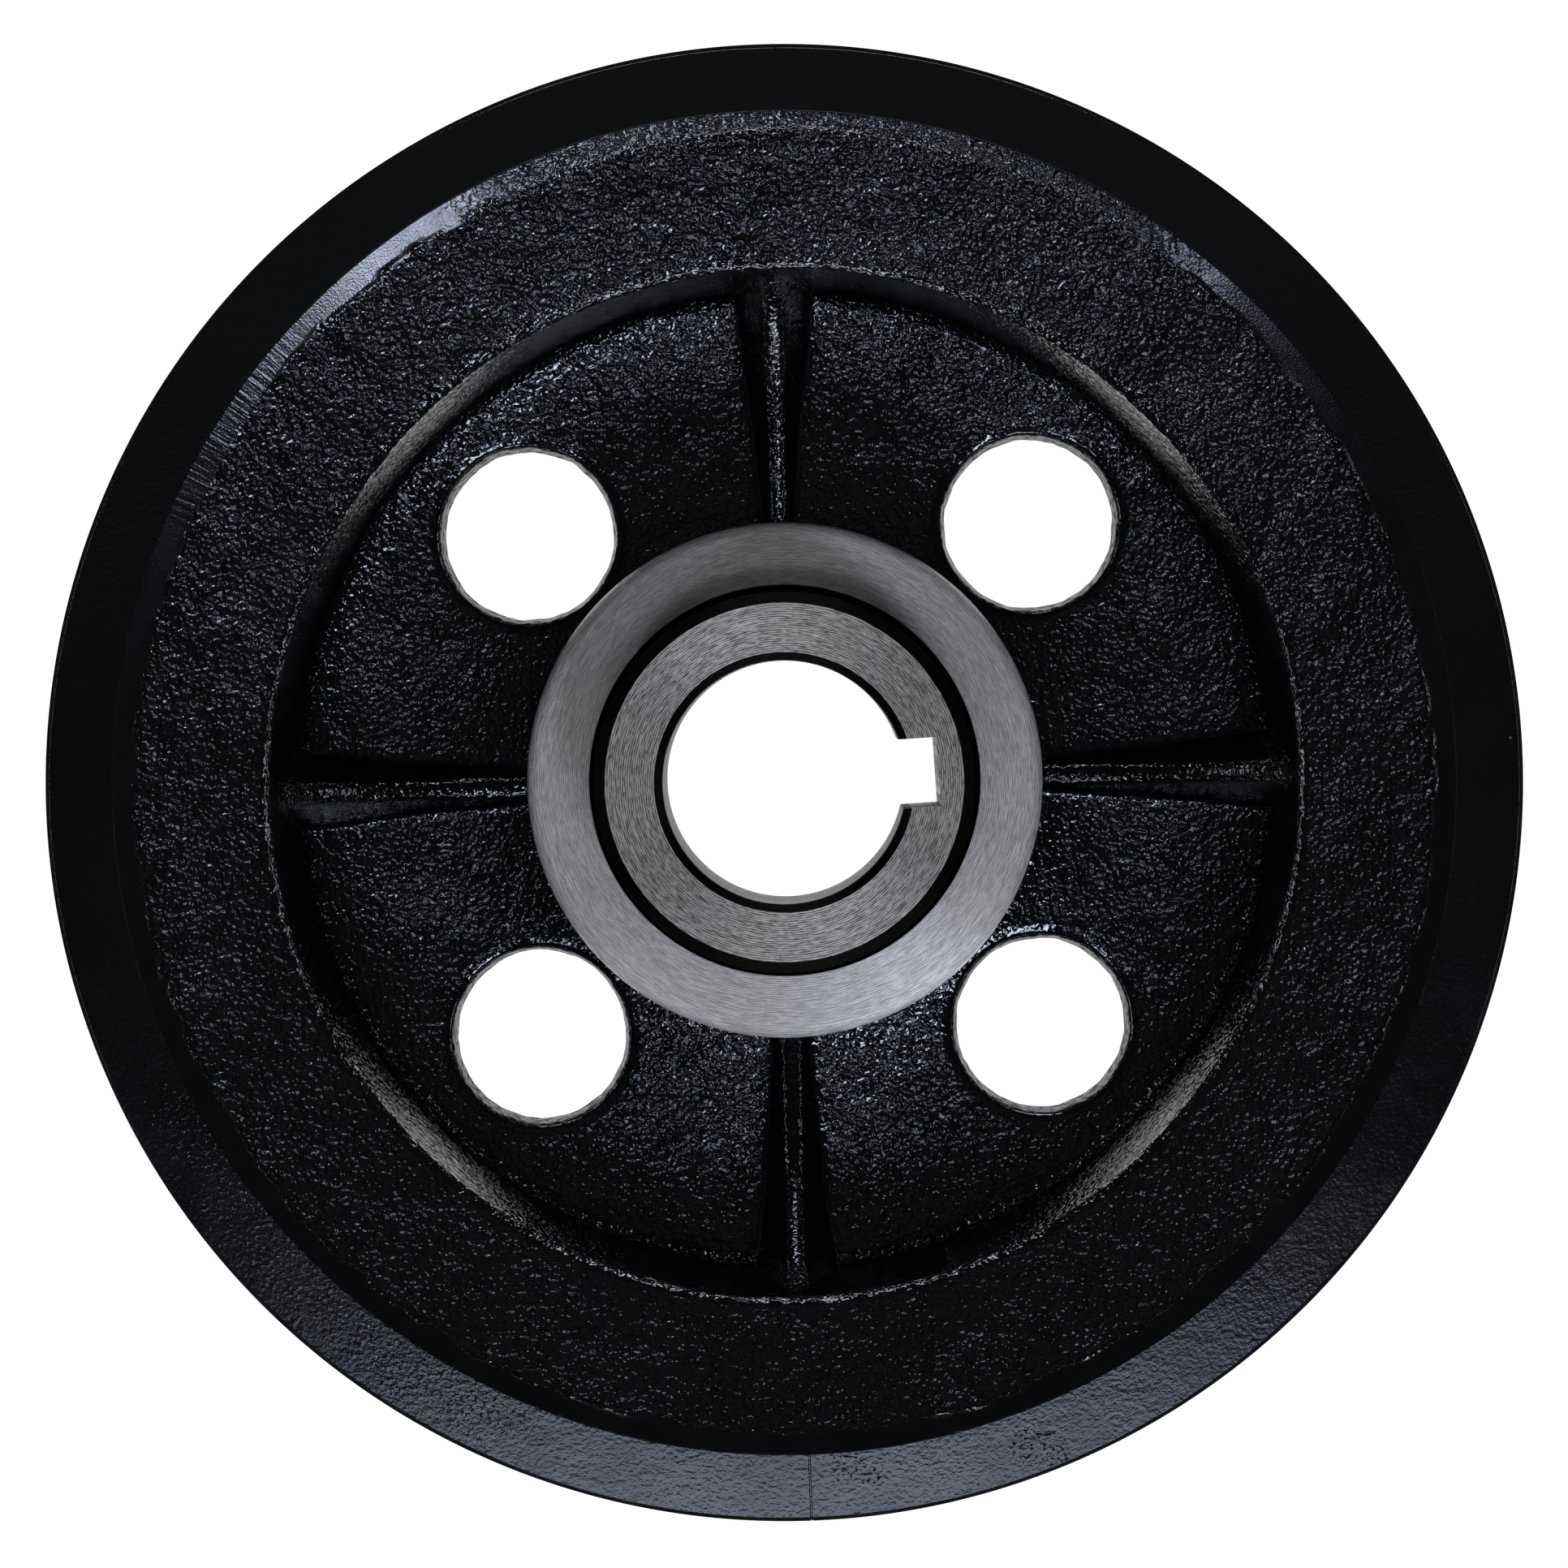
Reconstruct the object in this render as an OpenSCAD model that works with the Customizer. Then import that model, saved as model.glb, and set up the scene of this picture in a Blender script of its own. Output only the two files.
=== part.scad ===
// Keyed flywheel for a small engine, lying on its back face with its open front up.
//
// Three pieces turn as one on the shaft. The iron wheel casting has a heavy rim, a thin
// web with four lightening holes, and four ribs between the web and the rim wall. The
// bare steel hub is pressed into the casting from the front until its collar seats. The
// machined rim ring is shrunk onto the casting. Z is the bore axis, z = 0 is the back
// plane, and the ribs lie on X and Y. Sizes are in millimetres and degrees.

/* [Rim] */
// Outside diameter of the rim ring
wheel_d = 168; // [166:1:174]
// Width of the rim, from the back plane to the front face
rim_w = 38; // [37:0.5:42]
// Diameter of the joint between the casting and the rim ring
ring_joint_d = 152.6; // [152:0.2:154]
// Chamfer on the ring's outer edges
ring_chamfer = 0.5; // [0.2:0.1:1]
// Width of the timing line scribed across the ring's front face
timing_line_w = 0.3; // [0.2:0.1:1]
// Depth of the timing line
timing_line_depth = 0.25; // [0.1:0.05:0.5]
// Angle of the timing line, anticlockwise from +X
timing_line_angle = 270.75; // [260:0.25:280]

/* [Casting] */
// Radius where the turned bevel inside the ring meets the rough dish
bevel_r = 73.9; // [73:0.1:75]
// How far the bevel falls from the ring to the dish
bevel_drop = 1; // [0.6:0.1:1.6]
// Radius of the dish's inner edge, above the rim wall
dish_r = 58.8; // [58.5:0.1:60]
// How far the dish falls from the bevel to its inner edge
dish_drop = 2.6; // [1.5:0.1:4]
// Radius of the foot of the rim wall, where it meets the web
wall_foot_r = 57.1; // [56:0.1:58]
// Height of the web's front at its lowest ring
web_front_z = 10.4; // [9.5:0.1:12]
// Depth of the recess in the web's back
web_back_z = 3; // [1:0.5:5]
// Radius of the boss's back face
boss_r = 29.6; // [29:0.1:29.8]
// Diameter of the circle that the lightening holes lie on
hole_circle_d = 83.2; // [82:0.2:84]
// Smallest diameter of a lightening hole, at mid-thickness
hole_d = 19.8; // [18:0.2:20.4]
// Draft of the lightening holes
hole_draft = 8; // [2:1:10]
// Width of a rib's crest
rib_w = 3; // [2:0.1:4]
// Draft of a rib's flanks
rib_draft = 12; // [5:1:15]

/* [Hub] */
// Diameter of the bore for the shaft
bore_d = 28; // [20:0.5:28]
// Chamfer at each end of the bore
bore_chamfer = 1; // [0.5:0.1:1.2]
// Width of the keyway
key_w = 8; // [6:1:8]
// Distance from the bore's axis to the keyway's outer wall
key_reach = 17.8; // [16:0.1:18.2]
// Angle of the keyway, anticlockwise from the rib on +X
key_angle = 2.6; // [0:0.1:10]
// Diameter of the nose that stands up round the bore
nose_d = 44; // [43:0.5:45]
// Height of the nose's front face over the back plane
nose_z = 28; // [26:0.5:30]
// Chamfer on the nose's outer edge
nose_chamfer = 1.3; // [0.5:0.1:1.6]
// Outside diameter of the bare collar round the nose
collar_d = 60.4; // [58:0.2:61]
// Height of the collar's face at the foot of the nose
collar_z = 14.6; // [14:0.1:16]
// Height of the seat that the collar is pressed down to
seat_z = 10; // [8.5:0.1:10]
// Diameter of the barrel pressed into the casting's boss
barrel_d = 50; // [46:1:52]

/* [Hidden] */
$fn = 96;
ring_joint_r = ring_joint_d / 2;
// The bevel's top stays a hair under the ring's face, which shows as a fine line.
joint_line = 0.1;
bevel_top_z = rim_w - joint_line;
bevel_foot_z = bevel_top_z - bevel_drop;
dish_foot_z = bevel_foot_z - dish_drop;
// The web rises gently from its lowest ring to the boss and to the rim wall.
web_mid_r = hole_circle_d / 2;
web_rise = 0.9;
web_inner_z = web_front_z + web_rise;
wall_foot_z = web_front_z + 2 * web_rise;
hole_mid_z = (web_front_z + web_back_z) / 2;
overcut = 1;

function unit(v) = v / norm(v);

// The arc that rounds the corner q between p and s with radius r, as points
function corner_arc(p, q, s, r) =
    let (
        a = unit(p - q),
        b = unit(s - q),
        half_angle = acos(a * b) / 2,
        centre = q + unit(a + b) * r / sin(half_angle),
        from = q + a * r / tan(half_angle) - centre,
        to = q + b * r / tan(half_angle) - centre,
        start = atan2(from.y, from.x),
        sweep = (atan2(to.y, to.x) - start + 540) % 360 - 180,
        steps = 5
    )
    [for (i = [0:steps]) centre + r * [cos(start + sweep * i / steps), sin(start + sweep * i / steps)]];

// An outline whose corners are [radius, height, rounding]
function rounded_outline(corners) =
    let (n = len(corners))
    [for (i = [0:n - 1])
        let (
            q = [corners[i].x, corners[i].y],
            p = [corners[(i + n - 1) % n].x, corners[(i + n - 1) % n].y],
            s = [corners[(i + 1) % n].x, corners[(i + 1) % n].y]
        )
        each corners[i].z > 0 ? corner_arc(p, q, s, corners[i].z) : [q]
    ];

// Height of a rib's crest: it climbs slowly from the boss, then steeply up the rim wall.
rib_start_r = collar_d / 2 - 1;
rib_end_r = dish_r - 0.2;
rib_start_z = web_inner_z + 1.7;
rib_end_z = dish_foot_z - 2.5;
function rib_crest_z(r) =
    let (
        u = (r - rib_start_r) / (rib_end_r - rib_start_r),
        curve = 0.35 * u + 0.65 * (1 - sqrt(max(0, 1 - u * u)))
    )
    rib_start_z + (rib_end_z - rib_start_z) * curve;

// One rib along +X: a run of drafted cross-sections, crest width constant
module rib() {
    steps = 14;
    foot_z = web_back_z + 2;
    radii = [for (i = [0:steps]) rib_start_r + (rib_end_r - rib_start_r) * sin(90 * i / steps)];
    points = [for (r = radii)
        let (
            crest_z = rib_crest_z(r),
            top = rib_w / 2,
            foot = top + (crest_z - foot_z) * tan(rib_draft)
        )
        each [[r, -foot, foot_z], [r, foot, foot_z], [r, top, crest_z], [r, -top, crest_z]]
    ];
    last = 4 * steps;
    sides = [for (i = [0:steps - 1])
        for (k = [0:3]) [4 * i + k, 4 * i + 4 + k, 4 * i + 4 + (k + 1) % 4, 4 * i + (k + 1) % 4]
    ];
    triangles = [for (f = sides) each [[f[0], f[1], f[2]], [f[0], f[2], f[3]]]];
    polyhedron(points, concat([[0, 1, 2, 3]], triangles, [[last + 3, last + 2, last + 1, last]]));
}

// A lightening hole, narrowest at mid-thickness, with draft towards both faces
module lightening_hole() {
    reach = hole_mid_z + overcut;
    wide_r = hole_d / 2 + reach * tan(hole_draft);
    translate([0, 0, hole_mid_z]) cylinder(h = reach, r1 = hole_d / 2, r2 = wide_r);
    translate([0, 0, hole_mid_z - reach]) cylinder(h = reach, r1 = wide_r, r2 = hole_d / 2);
}

module wheel_casting() {
    color("#1a1b1f")
    difference() {
        union() {
            rotate_extrude()
            polygon(rounded_outline([
                [barrel_d / 2, 0, 0],
                [boss_r, 0, 0.8],
                [boss_r + 0.6, web_back_z, 1],
                [wall_foot_r - 1, web_back_z, 1],
                [wall_foot_r, 0, 0.8],
                [ring_joint_r, 0, 0],
                [ring_joint_r, bevel_top_z, 0],
                [bevel_r, bevel_foot_z, 0],
                [dish_r, dish_foot_z, 1.5],
                [wall_foot_r, wall_foot_z, 2.5],
                [web_mid_r + 6, web_front_z, 8],
                [web_mid_r - 4, web_front_z, 8],
                [collar_d / 2 + 1, web_inner_z, 0],
                [collar_d / 2, web_inner_z, 0],
                [collar_d / 2, seat_z, 0],
                [barrel_d / 2, seat_z, 0]
            ]));
            for (i = [0:3]) rotate([0, 0, 90 * i]) rib();
        }
        translate([0, 0, seat_z]) cylinder(h = rim_w, d = collar_d);
        for (i = [0:3]) rotate([0, 0, 45 + 90 * i]) translate([web_mid_r, 0, 0]) lightening_hole();
    }
}

module rim_ring() {
    color("#15161a")
    difference() {
        rotate_extrude()
        polygon([
            [ring_joint_r, 0],
            [wheel_d / 2 - ring_chamfer, 0],
            [wheel_d / 2, ring_chamfer],
            [wheel_d / 2, rim_w - ring_chamfer],
            [wheel_d / 2 - ring_chamfer, rim_w],
            [ring_joint_r + joint_line, rim_w],
            [ring_joint_r, rim_w - joint_line]
        ]);
        rotate([0, 0, timing_line_angle])
        translate([ring_joint_r - overcut, -timing_line_w / 2, rim_w - timing_line_depth])
        cube([wheel_d / 2, timing_line_w, timing_line_depth + overcut]);
    }
}

module keyed_hub() {
    color("#9a9b9d")
    difference() {
        rotate_extrude()
        polygon(rounded_outline([
            [bore_d / 2, bore_chamfer, 0],
            [bore_d / 2 + bore_chamfer, 0, 0],
            [barrel_d / 2 - 0.8, 0, 0],
            [barrel_d / 2, 0.8, 0],
            [barrel_d / 2, seat_z, 0],
            [collar_d / 2, seat_z, 0],
            [collar_d / 2, collar_z - 0.3, 1.6],
            [nose_d / 2, collar_z, 0.5],
            [nose_d / 2, nose_z - nose_chamfer, 0],
            [nose_d / 2 - nose_chamfer, nose_z, 0],
            [bore_d / 2 + bore_chamfer, nose_z, 0],
            [bore_d / 2, nose_z - bore_chamfer, 0]
        ]));
        rotate([0, 0, key_angle])
        translate([0, -key_w / 2, -overcut])
        cube([key_reach, key_w, nose_z + 2 * overcut]);
    }
}

wheel_casting();
rim_ring();
keyed_hub();
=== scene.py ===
"""Looks of the keyed flywheel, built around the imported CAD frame.

Each CAD piece gets a finer mesh of the same size: the casting with its fillets, drafted ribs, uneven
cast skin and the ragged edge of its turned bevel; the machined rim ring; and the bare turned hub.
Lengths are in millimetres until a mesh is made, and angles run anticlockwise from +X.
"""
import math

import bmesh
import bpy
import numpy as np
from mathutils import Matrix, Vector


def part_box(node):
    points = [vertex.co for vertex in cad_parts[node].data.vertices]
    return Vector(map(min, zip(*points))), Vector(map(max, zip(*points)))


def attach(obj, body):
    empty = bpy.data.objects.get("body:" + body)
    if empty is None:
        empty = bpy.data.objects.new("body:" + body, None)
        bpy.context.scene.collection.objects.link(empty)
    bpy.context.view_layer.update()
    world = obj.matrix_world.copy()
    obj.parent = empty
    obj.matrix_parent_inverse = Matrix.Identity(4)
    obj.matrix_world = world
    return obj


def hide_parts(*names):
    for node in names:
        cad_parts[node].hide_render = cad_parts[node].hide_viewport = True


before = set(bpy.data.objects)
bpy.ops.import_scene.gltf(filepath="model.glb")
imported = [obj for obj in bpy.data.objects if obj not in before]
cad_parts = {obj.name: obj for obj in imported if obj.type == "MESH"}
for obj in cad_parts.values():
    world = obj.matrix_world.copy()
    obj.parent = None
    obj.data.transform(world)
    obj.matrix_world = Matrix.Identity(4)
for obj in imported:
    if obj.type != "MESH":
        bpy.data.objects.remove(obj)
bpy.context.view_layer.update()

MM = 0.001

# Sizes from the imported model
HUB_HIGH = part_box("keyed_hub")[1] / MM
RING_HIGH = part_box("rim_ring")[1] / MM
CASTING_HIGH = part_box("wheel_casting")[1] / MM
COLLAR_R, NOSE_Z = HUB_HIGH.x, HUB_HIGH.z
WHEEL_R, RIM_W = RING_HIGH.x, RING_HIGH.z
JOINT_R, BEVEL_TOP_Z = CASTING_HIGH.x, CASTING_HIGH.z

# Sizes that the model's boxes don't give
BEVEL_R, BEVEL_DROP = 73.9, 1.0
BEVEL_STEP, TURNED_FROM_R = 0.2, 71.6
DISH_R, DISH_DROP = 58.8, 2.6
WALL_FOOT_R, WALL_FOOT_Z = 57.1, 12.2
WEB_Z, WEB_BACK_Z = 10.4, 3.0
WEB_OUTER_R, WEB_BACK_OUTER_R = 53.8, 53.8
BOSS_BACK_R = 29.6
HOLE_CIRCLE_R = 41.6
HOLE_R, HOLE_MOUTH_R, HOLE_LIP = 9.9, 10.3, 0.85
HOLE_MID_Z = 6.7
RIB_START_R, RIB_END_R = 29.2, 58.6
RIB_START_Z, RIB_END_Z = 13.0, 31.8
RIB_HALF_W, RIB_DRAFT = 1.35, math.radians(12)
SEAT_Z, BARREL_R = 10.0, 25.0
NOSE_R, NOSE_CHAMFER = 22.0, 1.3
BORE_R, BORE_CHAMFER = 14.0, 1.0
COLLAR_Z, COLLAR_FALL, COLLAR_ROUNDING = 14.5, 0.06, 1.6
ROOT_GROOVE_R, ROOT_GROOVE_DEPTH = 22.9, 0.8
EDGE_EASE = 0.06
KEY_W, KEY_REACH, KEY_ANGLE = 8.0, 17.8, math.radians(2.6)
TIMING_ANGLE, TIMING_HALF_W, TIMING_DEPTH = math.radians(270.75), 0.15, 0.25
RING_CHAMFER = 0.5

DISH_FOOT_Z = BEVEL_TOP_Z - BEVEL_DROP - DISH_DROP

# Where the turning tool only just touched the skin near the top of the bevel
SHY_ANGLE, SHY_SPREAD, SHY_SHIFT = math.radians(86), math.radians(15), 0.5

# The raw skin climbs this many millimetres per millimetre from the bevel's foot to the joint
RAW_CLIMB, RAW_BLEND = 2.2, 0.15


# --- Noise and blending ---------------------------------------------------------------------------

def lattice_value(ix, iy, iz, seed):
    """A repeatable value from -1 to 1 for each point of a whole-number lattice."""
    mask = 0xFFFFFFFF
    h = (ix * 374761393 + iy * 668265263 + iz * 1442695041 + seed * 1274126177) & mask
    h = ((h ^ (h >> 13)) * 1274126177) & mask
    return (h ^ (h >> 16)) / 2147483648.0 - 1.0


def soft_noise(points, size, seed):
    """Smooth noise from -1 to 1 at an array of points, with features about size wide."""
    scaled = points / size
    cell = np.floor(scaled).astype(np.int64)
    part = scaled - cell
    part = part * part * (3 - 2 * part)
    total = np.zeros(len(points))
    for corner in np.ndindex(2, 2, 2):
        weight = np.prod(np.where(np.array(corner) == 1, part, 1 - part), axis=1)
        total += weight * lattice_value(*(cell + np.array(corner)).T, seed)
    return total


def cast_wobble(points):
    """How far the sand-cast skin lies off its true surface, in millimetres."""
    return (0.16 * soft_noise(points, 9.0, 1) + 0.07 * soft_noise(points, 3.3, 2)
            + 0.035 * soft_noise(points, 1.4, 3))


def smooth_max(a, b, blend):
    """The larger of a and b, with a fillet about blend wide where they cross."""
    return 0.5 * (a + b + np.sqrt((a - b) ** 2 + blend ** 2))


def polar(r, angle, z):
    """Points from radius, angle and height, as an array of rows."""
    return np.stack(np.broadcast_arrays(r * np.cos(angle), r * np.sin(angle), z), axis=-1)


# --- Outlines -------------------------------------------------------------------------------------

def rounded_outline(corners, steps=6):
    """Points along an open outline of (radius, height, rounding) corners."""
    points = []
    for i, (x, z, rounding) in enumerate(corners):
        corner = Vector((x, z))
        if rounding == 0 or i in (0, len(corners) - 1):
            points.append(corner)
            continue
        back = (Vector(corners[i - 1][:2]) - corner).normalized()
        ahead = (Vector(corners[i + 1][:2]) - corner).normalized()
        half = back.angle(ahead) / 2
        centre = corner + (back + ahead).normalized() * rounding / math.sin(half)
        start = corner + back * rounding / math.tan(half) - centre
        sweep = start.angle_signed(corner + ahead * rounding / math.tan(half) - centre)
        for k in range(steps + 1):
            points.append(centre + Matrix.Rotation(-sweep * k / steps, 2) @ start)
    return np.array([tuple(p) for p in points])


def resampled(outline, spacing):
    """The outline again, with no step longer than spacing."""
    rows = [outline[0]]
    for start, end in zip(outline[:-1], outline[1:]):
        count = max(1, math.ceil(np.linalg.norm(end - start) / spacing))
        rows += [start + (end - start) * k / count for k in range(1, count + 1)]
    return np.array(rows)


def outline_normals(outline):
    """Unit normals of an outline that runs outward, pointing up and towards the axis."""
    along = np.gradient(outline, axis=0)
    normals = np.stack([-along[:, 1], along[:, 0]], axis=1)
    return normals / np.linalg.norm(normals, axis=1, keepdims=True)


# --- Mesh making ----------------------------------------------------------------------------------

class Skin:
    """Gathers grids of points, in millimetres, into one mesh."""

    def __init__(self):
        self.points, self.faces, self.cuts, self.count = [], [], [], 0

    def add_rows(self, rows, cuts=None):
        """Adds quads between rows of points. Every row closes on itself."""
        rows = np.asarray(rows)
        n_rows, n_cols = rows.shape[:2]
        first = self.count + np.arange(n_rows - 1)[:, None] * n_cols
        col = np.arange(n_cols)[None, :]
        ahead = (col + 1) % n_cols
        quads = np.stack([first + col, first + ahead, first + n_cols + ahead, first + n_cols + col], axis=-1)
        self.faces.append(quads.reshape(-1, 4))
        self.points.append(rows.reshape(-1, 3))
        self.cuts.append(np.full(n_rows * n_cols, -1.0) if cuts is None else np.asarray(cuts).ravel())
        self.count += n_rows * n_cols

    def to_object(self, name, sharp_angle, weld=2e-7):
        """Makes the mesh object, in metres, with shared points welded."""
        mesh = bpy.data.meshes.new(name)
        mesh.from_pydata(np.concatenate(self.points) * MM, [], np.concatenate(self.faces).tolist())
        cut = mesh.attributes.new("skin_cut", "FLOAT", "POINT")
        cut.data.foreach_set("value", np.concatenate(self.cuts).astype(np.float32))
        work = bmesh.new()
        work.from_mesh(mesh)
        bmesh.ops.remove_doubles(work, verts=work.verts, dist=weld)
        bmesh.ops.dissolve_degenerate(work, edges=work.edges, dist=weld)
        bmesh.ops.recalc_face_normals(work, faces=work.faces)
        work.to_mesh(mesh)
        work.free()
        mesh.polygons.foreach_set("use_smooth", [True] * len(mesh.polygons))
        mesh.set_sharp_from_angle(angle=sharp_angle)
        piece = bpy.data.objects.new(name, mesh)
        bpy.context.scene.collection.objects.link(piece)
        return piece


def stand_for(piece, node, material):
    """The piece takes the CAD node's place, rides with the wheel and gets its material."""
    piece.data.materials.append(material)
    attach(piece, "root")
    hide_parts(node)


# --- The casting's shape --------------------------------------------------------------------------

def web_height(r):
    """Height of the web's front without ribs: a shallow trough that rises to the hub and the rim."""
    towards_hub = np.clip((40.0 - r) / 9.7, 0, None)
    towards_rim = np.clip((r - 43.5) / 14.1, 0, None)
    return WEB_Z + 0.9 * towards_hub ** 2 + 1.8 * towards_rim ** 2


def rib_height(x, y):
    """Height of the nearest of the four ribs: a crest that climbs outward, with drafted flanks."""
    along = np.maximum(np.abs(x), np.abs(y))
    wander = 0.2 * soft_noise(np.stack([x, y, 0 * x], axis=-1).reshape(-1, 3), 7.0, 5).reshape(np.shape(x))
    across = np.abs(np.minimum(np.abs(x), np.abs(y)) + wander)
    u = np.clip((along - RIB_START_R) / (RIB_END_R - RIB_START_R), 0, 1)
    crest = RIB_START_Z + (RIB_END_Z - RIB_START_Z) * (0.35 * u + 0.65 * (1 - np.sqrt(1 - u * u)))
    return crest - smooth_max(0, across - RIB_HALF_W, 0.5) / math.tan(RIB_DRAFT)


def cast_front(points, rise=None):
    """Moves points on the casting's bare front to the cast skin: ribs first, then unevenness.

    points is an array of rows, and rise is the skin's own normal at each, or None for straight up."""
    flat = points.reshape(-1, 3).copy()
    flat[:, 2] = smooth_max(flat[:, 2], rib_height(flat[:, 0], flat[:, 1]), 1.2)
    wobble = cast_wobble(flat)[:, None]
    flat += wobble * (np.array([0.0, 0.0, 1.0]) if rise is None else rise.reshape(-1, 3))
    return flat.reshape(points.shape)


def rib_spaced_angles(radius, coarse, fine, rib_zone):
    """Angles from -45 to 45 degrees about a hole's direction, closer together near the two ribs."""
    half_arc = radius * math.pi / 4
    near = np.arange(0, rib_zone, fine)
    far = np.linspace(rib_zone, half_arc, math.ceil((half_arc - rib_zone) / coarse) + 1)
    from_rib = np.concatenate([near, far]) / radius
    return np.concatenate([-math.pi / 4 + from_rib, (math.pi / 4 - from_rib[:-1])[::-1]])


OUTER_ANGLES = rib_spaced_angles(WEB_OUTER_R, 0.75, 0.4, 6.5)
INNER_ANGLES = rib_spaced_angles(COLLAR_R, 0.65, 0.4, 3.5)


def full_turn(angles):
    """One hole's share of angles repeated round the wheel, without the shared ends."""
    return np.concatenate([angles[:-1] + math.pi / 4 + k * math.pi / 2 for k in range(4)])


def sector_border(outer_r, inner_r):
    """A closed border round one quarter of the web, with the hole's direction along +X."""
    side = np.linspace(outer_r, inner_r, 40)[1:-1]
    quarter = math.pi / 4
    return np.concatenate([
        polar(outer_r, OUTER_ANGLES, 0.0),
        polar(side, quarter, 0.0),
        polar(inner_r, INNER_ANGLES[::-1], 0.0),
        polar(side[::-1], -quarter, 0.0),
    ])


def add_web_quarter(skin, turn):
    """One quarter of the web, front and back, with its drafted, round-lipped lightening hole."""
    centre = np.array([HOLE_CIRCLE_R, 0.0, 0.0])
    rotation = np.array(Matrix.Rotation(turn, 3, "Z"))
    front_border = sector_border(WEB_OUTER_R, COLLAR_R + 0.1)
    back_border = sector_border(WEB_BACK_OUTER_R, BOSS_BACK_R + 0.9)
    towards = front_border - centre
    towards /= np.linalg.norm(towards, axis=1, keepdims=True)

    def placed(points):
        return points @ rotation.T

    def ring(radius, wobble=0.0):
        """A circle of points about the hole, with a little of the mould's unevenness."""
        circle = centre + towards * radius
        uneven = soft_noise(placed(circle), 2.2, 8) + 0.6 * soft_noise(placed(circle), 0.9, 9)
        return centre + towards * (radius + wobble * uneven[:, None])

    lip_r = HOLE_MOUTH_R + HOLE_LIP
    shares = np.concatenate([1 - 0.25 * np.arange(16) / 16, 0.75 * (1 - np.arange(1, 15) / 14) ** 1.3])
    rows = []
    for share in shares:
        row = placed(ring(lip_r) * (1 - share) + front_border * share)
        row[:, 2] = web_height(np.hypot(row[:, 0], row[:, 1]))
        rows.append(cast_front(row))
    for bend in np.radians([25, 50, 70, 90]):
        row = placed(ring(lip_r - HOLE_LIP * math.sin(bend), 0.10 * math.sin(bend)))
        row[:, 2] = web_height(np.hypot(row[:, 0], row[:, 1]))
        row = cast_front(row)
        row[:, 2] -= HOLE_LIP * (1 - math.cos(bend))
        rows.append(row)
    mouth_z = rows[-1][:, 2]
    for depth in np.linspace(0, 1, 6)[1:]:
        row = placed(ring(HOLE_MOUTH_R + (HOLE_R - HOLE_MOUTH_R) * depth, 0.10))
        row[:, 2] = mouth_z + (HOLE_MID_Z - mouth_z) * depth
        rows.append(row)
    for depth in np.linspace(0, 1, 5)[1:]:
        row = placed(ring(HOLE_R + (HOLE_MOUTH_R - HOLE_R) * depth, 0.10 * (1 - depth)))
        row[:, 2] = HOLE_MID_Z + (WEB_BACK_Z + HOLE_LIP - HOLE_MID_Z) * depth
        rows.append(row)
    for bend in np.radians([60, 30, 0]):
        row = placed(ring(lip_r - HOLE_LIP * math.sin(bend)))
        row[:, 2] = WEB_BACK_Z + HOLE_LIP * (1 - math.cos(bend))
        rows.append(row)
    for share in (0.15, 0.4, 0.7, 1.0):
        row = placed(ring(lip_r) * (1 - share) + back_border * share)
        row[:, 2] = WEB_BACK_Z
        rows.append(row)
    skin.add_rows(rows)


def bevel_height(r):
    return BEVEL_TOP_Z - (JOINT_R - r) * BEVEL_DROP / (JOINT_R - BEVEL_R)


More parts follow.
